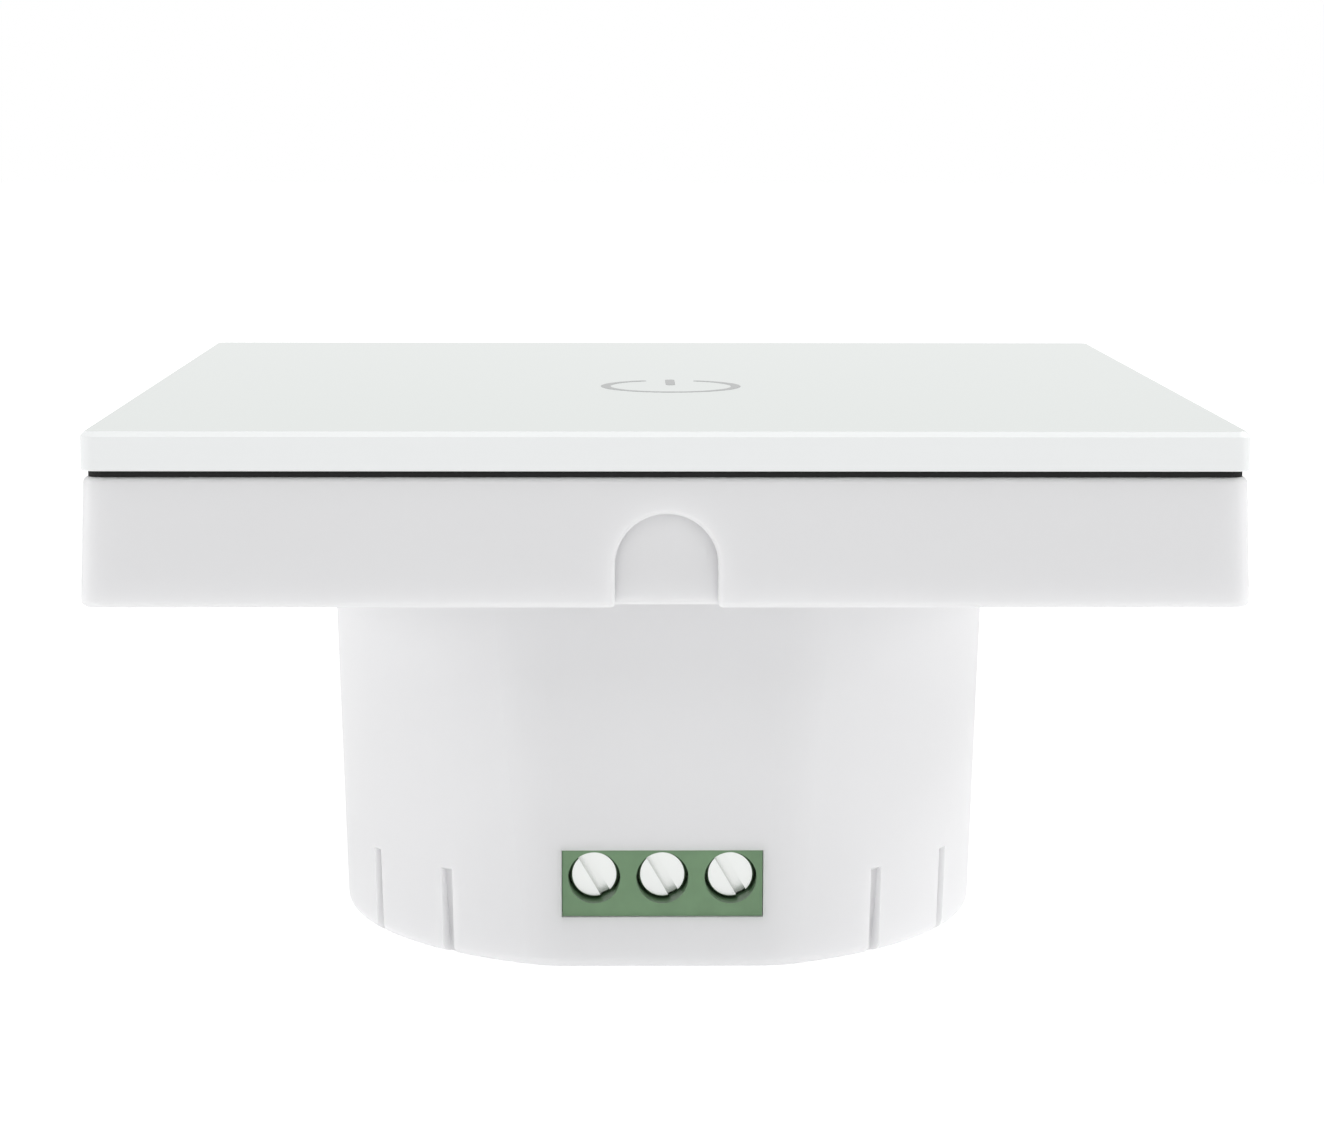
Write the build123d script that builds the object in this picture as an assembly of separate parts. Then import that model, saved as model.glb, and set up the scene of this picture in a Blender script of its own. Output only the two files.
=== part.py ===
from build123d import *
import math
import os

# Smart light switch with a glass touch panel, in millimetres.
# Z points out of the wall, z = 0 is the back of the wall-box cup, and -Y is the terminal side.

# Glass and seam
PANEL_SIDE = 80.0
GLASS_T = 2.7
GLASS_CORNER_R = 1.0
GLASS_ARRIS = 0.35
GLASS_BACK_ARRIS = 0.1
SEAM_T = 0.45
SEAM_INSET = 0.45
TAPE_WIDTH = 6.0

# Tray under the glass
TRAY_H = 8.95
TRAY_SETBACK = 0.1
TRAY_FLARE = 0.3
TRAY_CORNER_R = 1.3
TRAY_WALL = 2.0
DECK_T = 1.6
TRAY_FRONT_EDGE_R = 0.45
TRAY_RIM_EDGE_R = 0.4
TRAY_RIB_T = 1.0
TRAY_RIB_DEPTH = 1.4
TRAY_RIB_H = 3.0
TRAY_RIB_SPACING = 18.0
TRAY_RIBS = 3

# Pry notch in the tray's lower side
NOTCH_W = 7.1
NOTCH_H = 6.45
NOTCH_DEPTH = 1.9
NOTCH_BACK_T = 1.4
NOTCH_EDGE_R = 0.3

# Wall-box cup
CUP_DEPTH = 29.8
CUP_D_MOUTH = 52.0
CUP_TAPER = 0.9
CUP_WALL = 1.8
CUP_FLOOR_T = 1.8
CUP_FLAT_DEPTH = 2.4
CUP_FLAT_EDGE_R = 7.0
CUP_EDGE_R = 0.8

# Vent grooves round the foot of the cup
GROOVE_H = 6.7
GROOVE_RAMP = 0.3
GROOVE_TOP_DEPTH = 0.5
GROOVE_FOOT_DEPTH = 0.9
GROOVE_W = 1.1
GROOVE_ANGLES = (40.0, 60.0, 120.0, 140.0)

# Flange behind the tray, and what it carries
FLANGE_T = 2.0
FLANGE_GAP = 0.35
FLANGE_LIP_T = 1.2
FLANGE_LIP_H = 1.2
BOX_SCREW_SPACING = 60.0
BOX_SLOT_R = 1.9
BOX_SLOT_LENGTH = 6.0
SLOT_PAD_T = 1.2
POST_EDGE = 4.55
POST_R = 1.8
POST_SPLIT = 0.8
POST_SPLIT_DEPTH = 4.0
POST_GAP = 0.1
POST_TIP_GAP = 0.4
POST_TIP_CHAMFER = 0.4
SOCKET_WALL = 1.5
SOCKET_H = 4.3

# Fits
LOOSE_GAP = 0.15
HOLE_GAP = 0.1
RUNNING_GAP = 0.05
BODY_GAP = 0.3

# Small screws with a cross recess
SCREW_R = 1.0
SCREW_HEAD_R = 1.9
SCREW_HEAD_H = 1.2
CROSS_W = 0.5
CROSS_LENGTH = 2.2
CROSS_DEPTH = 0.6

# Power board
BOARD_Z = 13.0
BOARD_T = 1.6
BOARD_GAP = 0.45
STANDOFF_R = 2.5
BOARD_SCREW_EDGE = 6.8
BOARD_SCREW_ANGLES = (90.0, 205.0, 335.0)
BOARD_SCREW_LENGTH = 6.0
LEAD_BELOW = 1.2

# Inner cover over the mains side
COVER_T = 1.5
COVER_LEDGE = 0.8
COVER_BOSS_R = 2.8
COVER_BOSS_EDGE = 4.4
COVER_BOSS_ANGLES = (30.0, 150.0)
COVER_SCREW_LENGTH = 7.0
COVER_COUNTERBORE = 0.7
COVER_VENT_L = 12.0
COVER_VENT_W = 1.2
COVER_VENT_STEP = 3.0
COVER_VENTS = 5
COVER_VENT_Y = -8.0

# Terminal block
POLE_PITCH = 5.08
POLES = ("left", "middle", "right")
BLOCK_W = 15.2
BLOCK_DEPTH = 10.0
BLOCK_FLOOR_GAP = 0.2
BLOCK_FACE_GAP = 0.1
NOSE_GAP = 0.05
NOSE_SETBACK = 0.25
WINDOW_W = 15.0
WINDOW_H = 5.1
WINDOW_Z = 3.9
SCREW_AXIS_Z = 6.85
CLAMP_BORE_R = 1.95
CLAMP_BORE_DEPTH = 2.95
CLAMP_HEAD_R = 1.75
CLAMP_HEAD_H = 1.6
CLAMP_HEAD_CHAMFER = 0.1
CLAMP_SHAFT_R = 1.25
CLAMP_SLOT_W = 0.82
CLAMP_SLOT_DEPTH = 1.05
CLAMP_SLOT_TURN = 30.5
CLAMP_SHOULDER_T = 1.0
CHAMBER_DEPTH = 6.6
CHAMBER_W = 4.3
CAGE_W = 4.0
CAGE_H = 4.6
CAGE_LENGTH = 4.6
CAGE_WALL = 0.8
CAGE_SIDE_WALL = 0.7
CONTACT_T = 0.6
CONTACT_W = 2.2
CONTACT_PIN_W = 1.0
CONTACT_SHOULDER_GAP = 1.8
WIRE_HOLE_R = 1.6
WIRE_FUNNEL = 0.4

# Relay
RELAY_EDGE, RELAY_Y = 16.4, -1.7
RELAY_W, RELAY_L, RELAY_H = 10.2, 17.6, 12.6
RELAY_FLOOR_T = 2.0
RELAY_SKIRT_H = 0.6
RELAY_COVER_WALL = 0.7
RELAY_COIL_Y = 3.1
RELAY_FLANGE_R = 3.9
RELAY_FLANGE_T = 0.5
RELAY_WINDING_R = 3.5
RELAY_SPOOL_R = 2.0
RELAY_CORE_R = 1.4
RELAY_POLE_R = 2.0
RELAY_POLE_T = 0.5
RELAY_IRON_T = 0.8
RELAY_IRON_W = 6.6
RELAY_COIL_H = 6.6
RELAY_AIR_GAP = 0.45
RELAY_ARMATURE_L = 10.4
RELAY_BLADE_T = 0.2
RELAY_BLADE_W = 3.0
RELAY_BLADE_OVERLAP = 3.0
RELAY_BLADE_END = 0.3
RELAY_CONTACT_R = 1.0
RELAY_CONTACT_T = 0.4
RELAY_CONTACT_GAP = 0.85
RELAY_CONTACT_Y = -6.0
RELAY_STRIP_T = 0.4
RELAY_PIN_R = 0.4
RELAY_COIL_PIN_Y = -1.6
RELAY_COIL_PIN_STEP = 6.4
RELAY_STRIP_SETBACK = 1.4

# Transformer
TRANSFORMER_EDGE, TRANSFORMER_Y = 18.2, -4.0
RAIL_W, RAIL_L, RAIL_H = 14.0, 12.6, 1.6
FERRITE_W, FERRITE_H, FERRITE_T = 12.8, 10.4, 4.8
FERRITE_BAR = 1.8
FERRITE_CENTRE_W = 3.2
SPOOL_R = 3.3
SPOOL_FLANGE_R = 4.5
SPOOL_FLANGE_T = 0.6
WINDING_R = 4.25
TRANSFORMER_PIN_R = 0.35
TRANSFORMER_PIN_STEP = 3.2
TRANSFORMER_PIN_EDGE = 1.0
SPOOL_POST_EDGE = 0.4

# Other parts on the power board, each placed by its distance in from the mouth and its angle
BULK_EDGE, BULK_ANGLE, BULK_R, BULK_H = 9.0, 118.0, 5.0, 13.0
OUTPUT_EDGE, OUTPUT_ANGLE, OUTPUT_R, OUTPUT_H = 9.1, 55.8, 3.15, 11.0
CAN_NECK = 0.35
CAN_LEAD_STEP = 2.5
FILM_EDGE, FILM_SCREW_GAP, FILM_W, FILM_L, FILM_H = 7.7, 0.6, 4.6, 9.8, 9.0
FILM_LEAD_STEP = 7.5
VARISTOR_EDGE, VARISTOR_ANGLE, VARISTOR_R, VARISTOR_T = 7.3, 307.2, 3.5, 3.4
VARISTOR_LEAD_STEP = 5.0
FUSE_EDGE, FUSE_ANGLE, FUSE_L, FUSE_W, FUSE_H = 6.95, 232.9, 7.0, 4.0, 7.5
FUSE_LEAD_STEP = 5.0
LEAD_R = 0.3
BOX_PART_EDGE_R = 0.5

# Header between the boards
HEADER_SHIFT, HEADER_Y = 0.3, 6.3
HEADER_PINS = 5
HEADER_PITCH = 2.54
HEADER_BODY_W = 2.5
HEADER_STRIP_H = 2.5
PIN_SIDE = 0.64
PIN_ABOVE = 0.6
PIN_ENGAGE = 5.5
SOCKET_BODY_H = 8.5
SOCKET_HOLE_DEPTH = 7.0

# Touch board and its parts
TOUCH_W, TOUCH_L, TOUCH_T = 60.0, 54.0, 1.2
TOUCH_CORNER_R = 2.0
TOUCH_BOSS_H = 1.0
TOUCH_BOSS_R = 2.4
TOUCH_SCREW_X, TOUCH_SCREW_Y = 26.0, 22.0
TOUCH_SCREW_LENGTH = 3.2
ICON_Y = -4.65
SPRING_R = 3.2
SPRING_WIRE_R = 0.2
SPRING_TURNS = 2.5
GUIDE_INNER_R = 4.4
GUIDE_OUTER_R = 6.6
LED_COUNT = 4
LED_W, LED_L, LED_H = 0.9, 1.6, 0.6
RADIO_X, RADIO_Y = -17.0, -2.0
RADIO_W, RADIO_L, RADIO_T = 18.0, 24.0, 0.8
SHIELD_W, SHIELD_L, SHIELD_H = 15.0, 17.0, 1.7
SHIELD_WALL = 0.25
SHIELD_OFFSET = -2.5
CHIP_X, CHIP_Y = 14.0, -12.0
CHIP_W, CHIP_L, CHIP_T = 4.0, 5.0, 1.5
CHIP_LEGS = 4
CHIP_LEG_W, CHIP_LEG_T, CHIP_LEG_REACH = 0.45, 0.25, 1.0

# Levels
WALL_Z = CUP_DEPTH
FLANGE_TOP_Z = WALL_Z + FLANGE_T
COVER_Z = FLANGE_TOP_Z - COVER_T
TRAY_TOP_Z = WALL_Z + TRAY_H
DECK_Z = TRAY_TOP_Z - DECK_T
GLASS_Z = TRAY_TOP_Z + SEAM_T
BOARD_TOP_Z = BOARD_Z + BOARD_T
LEAD_Z = BOARD_Z - LEAD_BELOW
TOUCH_TOP_Z = DECK_Z - TOUCH_BOSS_H
TOUCH_Z = TOUCH_TOP_Z - TOUCH_T
BLOCK_Z = CUP_FLOOR_T + BLOCK_FLOOR_GAP
CUP_MOUTH_R = CUP_D_MOUTH / 2
CUP_FLOOR_R = CUP_MOUTH_R - CUP_TAPER
CUP_FLAT = CUP_MOUTH_R - CUP_FLAT_DEPTH
BLOCK_FACE_Y = -CUP_FLAT + CUP_WALL + BLOCK_FACE_GAP
NOSE_Y = -CUP_FLAT + NOSE_SETBACK
SHOULDER_Y = NOSE_Y + CLAMP_BORE_DEPTH
CHAMBER_Y = SHOULDER_Y + CLAMP_SHOULDER_T
CAGE_BACK_Y = CHAMBER_Y + CHAMBER_DEPTH - LOOSE_GAP
CAGE_Y = CAGE_BACK_Y - CAGE_LENGTH
CONTACT_Y = CAGE_Y + CAGE_WALL + LOOSE_GAP
WIRE_Y = (CONTACT_Y + CONTACT_T + CAGE_BACK_Y - CAGE_WALL) / 2
TRAY_SIDE_FRONT = PANEL_SIDE - 2 * TRAY_SETBACK
TRAY_SIDE_WALL = TRAY_SIDE_FRONT + 2 * TRAY_FLARE
FLANGE_SIDE = TRAY_SIDE_FRONT - 2 * TRAY_WALL - 2 * FLANGE_GAP
POST_OFFSET = FLANGE_SIDE / 2 - POST_EDGE
RELAY_X = -(CUP_MOUTH_R - RELAY_EDGE)
TRANSFORMER_X = CUP_MOUTH_R - TRANSFORMER_EDGE
HEADER_X = TRANSFORMER_X - HEADER_SHIFT

BASE = (Align.CENTER, Align.CENTER, Align.MIN)
FRONT_BASE = (Align.CENTER, Align.MIN, Align.MIN)


def block(x, y, z, width, length, height):
    """Box centred on x and y that stands on z."""
    return Pos(x, y, z) * Box(width, length, height, align=BASE)


def rod(x, y, z, radius, height):
    """Upright cylinder that stands on z."""
    return Pos(x, y, z) * Cylinder(radius, height, align=BASE)


def rod_y(x, y, z, radius, length):
    """Cylinder along +Y from the given point."""
    return Pos(x, y, z) * Rot(-90, 0, 0) * Cylinder(radius, length, align=BASE)


def group(pieces):
    """Separate solids that share one node."""
    return Compound(children=[piece.solid() for piece in pieces])


def on_orbit(radius, angle):
    """Point on a circle about the cup's axis."""
    turn = math.radians(angle)
    return radius * math.cos(turn), radius * math.sin(turn)


def corners(x, y):
    return [(i * x, j * y) for i in (-1, 1) for j in (-1, 1)]


def pole_x(index):
    return (index - (len(POLES) - 1) / 2) * POLE_PITCH


def header_points():
    middle = (HEADER_PINS - 1) / 2
    return [(HEADER_X + (i - middle) * HEADER_PITCH, HEADER_Y) for i in range(HEADER_PINS)]


def pair_x(x, y, step):
    return [(x - step / 2, y), (x + step / 2, y)]


def pair_y(x, y, step):
    return [(x, y - step / 2), (x, y + step / 2)]


# Lead positions, which the parts and the board's holes share
BOARD_SCREW_POINTS = [on_orbit(CUP_MOUTH_R - BOARD_SCREW_EDGE, a) for a in BOARD_SCREW_ANGLES]
COVER_SCREW_POINTS = [on_orbit(CUP_MOUTH_R - COVER_BOSS_EDGE, a) for a in COVER_BOSS_ANGLES]
BULK_X, BULK_Y = on_orbit(CUP_MOUTH_R - BULK_EDGE, BULK_ANGLE)
OUTPUT_X, OUTPUT_Y = on_orbit(CUP_MOUTH_R - OUTPUT_EDGE, OUTPUT_ANGLE)
VARISTOR_X, VARISTOR_Y = on_orbit(CUP_MOUTH_R - VARISTOR_EDGE, VARISTOR_ANGLE)
FUSE_X, FUSE_Y = on_orbit(CUP_MOUTH_R - FUSE_EDGE, FUSE_ANGLE)
FILM_X = CUP_MOUTH_R - FILM_EDGE
FILM_Y = BOARD_SCREW_POINTS[-1][1] + SCREW_HEAD_R + FILM_SCREW_GAP + FILM_L / 2
RELAY_COIL_PINS = pair_x(RELAY_X, RELAY_Y + RELAY_COIL_PIN_Y, RELAY_COIL_PIN_STEP)
FIXED_STRIP_Y = RELAY_CONTACT_Y - RELAY_STRIP_SETBACK
FIXED_PIN = (RELAY_X, RELAY_Y + FIXED_STRIP_Y)
TRANSFORMER_PINS = [
    (TRANSFORMER_X + i * TRANSFORMER_PIN_STEP, TRANSFORMER_Y + side * (RAIL_L / 2 - TRANSFORMER_PIN_EDGE))
    for i in (-1, 0, 1)
    for side in (-1, 1)
]
BULK_LEADS = pair_x(BULK_X, BULK_Y, 2 * CAN_LEAD_STEP)
OUTPUT_LEADS = pair_x(OUTPUT_X, OUTPUT_Y, CAN_LEAD_STEP)
FILM_LEADS = pair_y(FILM_X, FILM_Y, FILM_LEAD_STEP)
VARISTOR_LEADS = pair_x(VARISTOR_X, VARISTOR_Y, VARISTOR_LEAD_STEP)
FUSE_LEADS = pair_x(FUSE_X, FUSE_Y, FUSE_LEAD_STEP)


def cup_radius(z):
    return CUP_FLOOR_R + CUP_TAPER * z / CUP_DEPTH


def flat_cut(reach, y, z, height):
    """Everything beyond the flat, to take off a round form."""
    depth = reach + y
    return Pos(0, y - depth, z) * Box(4 * reach, depth, height, align=FRONT_BASE)


def cup_form(inset, z0, z1):
    """Tapered round form with the terminal flat, drawn in from the outer wall."""
    low, high = cup_radius(z0) - inset, cup_radius(z1) - inset
    cone = Pos(0, 0, z0) * Cone(low, high, z1 - z0, align=BASE)
    return cone - flat_cut(CUP_D_MOUTH, -CUP_FLAT + inset, z0, z1 - z0)


def keyed_disc(inset, z, height):
    """Round plate with the terminal flat, drawn in from the mouth's outer wall."""
    return rod(0, 0, z, CUP_MOUTH_R - inset, height) - flat_cut(
        CUP_D_MOUTH, -CUP_FLAT + inset, z, height
    )


def small_screw(x, y, z, length):
    """Screw whose head stands on z and whose shank goes down."""
    head = rod(x, y, z, SCREW_HEAD_R, SCREW_HEAD_H)
    head = fillet(head.edges().group_by(Axis.Z)[-1], SCREW_HEAD_H / 3)
    recess_z = z + SCREW_HEAD_H - CROSS_DEPTH
    cross = [
        block(x, y, recess_z, CROSS_LENGTH, CROSS_W, SCREW_HEAD_H),
        block(x, y, recess_z, CROSS_W, CROSS_LENGTH, SCREW_HEAD_H),
    ]
    return head + rod(x, y, z - length, SCREW_R, length) - cross


def pilot(x, y, z, depth):
    """Hole for a small screw, down from z."""
    return rod(x, y, z - depth, SCREW_R + RUNNING_GAP, depth)


# Front of the switch


def glass_panel():
    face = RectangleRounded(PANEL_SIDE, PANEL_SIDE, GLASS_CORNER_R)
    plate = Pos(0, 0, GLASS_Z) * extrude(face, GLASS_T)
    plate = chamfer(plate.edges().group_by(Axis.Z)[-1], GLASS_ARRIS)
    return chamfer(plate.edges().group_by(Axis.Z)[0], GLASS_BACK_ARRIS)


def panel_tape():
    outer = PANEL_SIDE - 2 * SEAM_INSET
    inner = outer - 2 * TAPE_WIDTH
    ring = RectangleRounded(outer, outer, GLASS_CORNER_R) - Rectangle(inner, inner)
    return Pos(0, 0, TRAY_TOP_Z) * extrude(ring, SEAM_T)


def tray_form(inset, z0, z1):
    """Drafted square form of the tray between two levels."""

    def side(z):
        share = (z - WALL_Z) / TRAY_H
        return TRAY_SIDE_WALL + (TRAY_SIDE_FRONT - TRAY_SIDE_WALL) * share - 2 * inset

    radius = max(TRAY_CORNER_R - inset / 2, TRAY_CORNER_R / 2)
    sections = [Pos(0, 0, z) * RectangleRounded(side(z), side(z), radius) for z in (z0, z1)]
    return loft(sections, ruled=True)


def notch_form(width, height, z0):
    """Round-topped outline on the XZ plane, from z0 up."""
    radius = width / 2
    top = height - radius
    sides = Polyline((radius, top), (radius, z0), (-radius, z0), (-radius, top))
    return Plane.XZ * make_face(sides + CenterArc((0, top), radius, 0, 180))


def notch_rim(tray, face_y):
    """Edges where the notch breaks the tray's outer face."""

    def on_rim(edge):
        at = edge.center()
        outside = at.Y < face_y + NOTCH_DEPTH / 2
        above = WALL_Z + TRAY_RIM_EDGE_R < at.Z < WALL_Z + NOTCH_H + LOOSE_GAP
        return outside and above and abs(at.X) < NOTCH_W / 2 + LOOSE_GAP

    return tray.edges().filter_by(on_rim)


def front_frame():
    tray = tray_form(0, WALL_Z, TRAY_TOP_Z)
    tray = fillet(tray.edges().group_by(Axis.Z)[-1], TRAY_FRONT_EDGE_R)
    tray = fillet(tray.edges().group_by(Axis.Z)[0], TRAY_RIM_EDGE_R)
    tray -= tray_form(TRAY_WALL, WALL_Z, DECK_Z)

    # Thicker wall behind the notch, then the notch itself
    face_y = -TRAY_SIDE_WALL / 2
    pad_depth = NOTCH_DEPTH + NOTCH_BACK_T
    pad = notch_form(NOTCH_W + 2 * NOTCH_BACK_T, NOTCH_H + NOTCH_BACK_T, 0)
    pad = Pos(0, face_y + pad_depth, WALL_Z) * extrude(pad, pad_depth - TRAY_WALL / 2)
    tray += pad
    notch = notch_form(NOTCH_W, NOTCH_H, -TRAY_WALL)
    tray -= Pos(0, face_y + NOTCH_DEPTH, WALL_Z) * extrude(notch, 2 * NOTCH_DEPTH)
    tray = fillet(notch_rim(tray, face_y), NOTCH_EDGE_R)

    # Ribs that stiffen the walls against the deck
    wall_y = TRAY_SIDE_FRONT / 2 - TRAY_WALL
    for side in range(4):
        for i in range(TRAY_RIBS):
            x = (i - (TRAY_RIBS - 1) / 2) * TRAY_RIB_SPACING
            if side == 0 and abs(x) < NOTCH_W:
                continue
            rib = block(x, -wall_y, DECK_Z - TRAY_RIB_H, TRAY_RIB_T, 2 * TRAY_RIB_DEPTH, TRAY_RIB_H)
            tray += Rot(0, 0, 90 * side) * rib

    # Bosses for the touch board, with blind pilot holes
    for x, y in corners(TOUCH_SCREW_X, TOUCH_SCREW_Y):
        tray += rod(x, y, TOUCH_TOP_Z, TOUCH_BOSS_R, TOUCH_BOSS_H)
        depth = TOUCH_SCREW_LENGTH - TOUCH_T + LOOSE_GAP
        tray -= rod(x, y, TOUCH_TOP_Z, SCREW_R + RUNNING_GAP, depth)

    # Split posts that push into the flange
    post_z = WALL_Z + POST_TIP_GAP
    for x, y in corners(POST_OFFSET, POST_OFFSET):
        post = rod(x, y, post_z, POST_R, DECK_Z - post_z)
        post = chamfer(post.edges().group_by(Axis.Z)[0], POST_TIP_CHAMFER)
        post -= block(x, y, post_z, 2 * POST_R, POST_SPLIT, POST_SPLIT_DEPTH)
        tray += post

    return tray - rod(0, ICON_Y, DECK_Z, GUIDE_OUTER_R + HOLE_GAP, DECK_T)


def touch_board():
    plate = extrude(RectangleRounded(TOUCH_W, TOUCH_L, TOUCH_CORNER_R), TOUCH_T)
    board = Pos(0, 0, TOUCH_Z) * plate
    board -= [
        rod(x, y, TOUCH_Z, SCREW_R + HOLE_GAP, TOUCH_T)
        for x, y in corners(TOUCH_SCREW_X, TOUCH_SCREW_Y)
    ]
    return board - [
        rod(x, y, TOUCH_Z, PIN_SIDE * math.sqrt(0.5) + HOLE_GAP, TOUCH_T)
        for x, y in header_points()
    ]


def touch_board_screws():
    upright = [
        small_screw(x, y, 0, TOUCH_SCREW_LENGTH)
        for x, y in corners(TOUCH_SCREW_X, TOUCH_SCREW_Y)
    ]
    return group([Pos(0, 0, TOUCH_Z) * Rot(180, 0, 0) * screw for screw in upright])


def biarc(start, start_dir, end, end_dir):
    """Two arcs that leave start and reach end along the given unit directions."""
    span = end - start
    both = start_dir + end_dir
    a = 2 * (1 - start_dir.dot(end_dir))
    b = 2 * span.dot(both)
    c = -span.dot(span)
    reach = (-b + math.sqrt(b * b - 4 * a * c)) / (2 * a)
    middle = (start + start_dir * reach + end - end_dir * reach) * 0.5
    first = TangentArc(start, middle, tangent=start_dir)
    second = TangentArc(middle, end, tangent=first % 1)
    return [first, second]


def touch_spring():
    """Short coil that presses on the back of the glass."""
    low = TOUCH_TOP_Z + SPRING_WIRE_R
    rise = GLASS_Z - TOUCH_TOP_Z - 2 * SPRING_WIRE_R
    turn = 2 * math.pi * SPRING_TURNS
    slope = rise / turn
    steps = round(4 * SPRING_TURNS)

    def point(angle):
        x, y = SPRING_R * math.cos(angle), SPRING_R * math.sin(angle)
        return Vector(x, y + ICON_Y, low + slope * angle)

    def direction(angle):
        x, y = -SPRING_R * math.sin(angle), SPRING_R * math.cos(angle)
        return Vector(x, y, slope).normalized()

    edges = []
    for i in range(steps):
        a, b = turn * i / steps, turn * (i + 1) / steps
        edges += biarc(point(a), direction(a), point(b), direction(b))
    path = Wire(edges)
    section = Plane(origin=point(0), z_dir=direction(0)) * Circle(SPRING_WIRE_R)
    gap = rise / SPRING_TURNS - 2 * SPRING_WIRE_R
    print("touch_spring: least gap between turns", round(gap, 3))
    return sweep(section, path=path)


def light_guide():
    ring_z = TOUCH_TOP_Z + LED_H + HOLE_GAP
    height = GLASS_Z - ring_z
    return rod(0, ICON_Y, ring_z, GUIDE_OUTER_R, height) - rod(
        0, ICON_Y, ring_z, GUIDE_INNER_R, height
    )


def leds():
    orbit = (GUIDE_INNER_R + GUIDE_OUTER_R) / 2
    led = block(orbit, 0, TOUCH_TOP_Z, LED_W, LED_L, LED_H)
    turns = [Rot(0, 0, 360 * i / LED_COUNT) for i in range(LED_COUNT)]
    return group([Pos(0, ICON_Y, 0) * turn * led for turn in turns])


def touch_chip():
    body = block(CHIP_X, CHIP_Y, TOUCH_Z - CHIP_T, CHIP_W, CHIP_L, CHIP_T)
    chip = chamfer(body.edges().group_by(Axis.Z)[0], CHIP_T / 5)
    reach = CHIP_W + 2 * CHIP_LEG_REACH
    for i in range(CHIP_LEGS):
        y = CHIP_Y + (i - (CHIP_LEGS - 1) / 2) * CHIP_L / CHIP_LEGS
        chip += block(CHIP_X, y, TOUCH_Z - CHIP_LEG_T, reach, CHIP_LEG_W, CHIP_LEG_T)
    return chip


def radio_module():
    return block(RADIO_X, RADIO_Y, TOUCH_Z - RADIO_T, RADIO_W, RADIO_L, RADIO_T)


def radio_shield():
    shield_z = TOUCH_Z - RADIO_T - SHIELD_H
    y = RADIO_Y + SHIELD_OFFSET
    can = block(RADIO_X, y, shield_z, SHIELD_W, SHIELD_L, SHIELD_H)
    can = chamfer(can.edges().group_by(Axis.Z)[0], SHIELD_WALL)
    inside = SHIELD_H - SHIELD_WALL
    return can - block(
        RADIO_X, y, shield_z + SHIELD_WALL, SHIELD_W - 2 * SHIELD_WALL, SHIELD_L - 2 * SHIELD_WALL, inside
    )


def header_strip():
    strip_z = TOUCH_Z - HEADER_STRIP_H
    width = HEADER_PINS * HEADER_PITCH
    strip = block(HEADER_X, HEADER_Y, strip_z, width, HEADER_BODY_W, HEADER_STRIP_H)
    side = PIN_SIDE + RUNNING_GAP
    return strip - [block(x, y, strip_z, side, side, HEADER_STRIP_H) for x, y in header_points()]


def header_pins():
    tip_z = BOARD_TOP_Z + SOCKET_BODY_H - PIN_ENGAGE
    height = TOUCH_TOP_Z + PIN_ABOVE - tip_z
    pins = []
    for x, y in header_points():
        pin = block(x, y, tip_z, PIN_SIDE, PIN_SIDE, height)
        pins.append(chamfer(pin.edges().group_by(Axis.Z)[0], PIN_SIDE / 5))
    return group(pins)


# Rear of the switch


def groove_cutter(angle):
    """Narrow slot with a ramped upper end, which deepens towards the cup's floor."""
    ramp_z = GROOVE_H - GROOVE_RAMP
    profile = Polyline(
        (cup_radius(GROOVE_H), GROOVE_H),
        (cup_radius(ramp_z) - GROOVE_TOP_DEPTH, ramp_z),
        (CUP_FLOOR_R - GROOVE_FOOT_DEPTH, 0),
        (CUP_MOUTH_R, 0),
        (CUP_MOUTH_R, GROOVE_H),
        close=True,
    )
    slot = extrude(Plane.XZ * make_face(profile), GROOVE_W / 2, both=True)
    return Rot(0, 0, angle - 90) * slot


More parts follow.
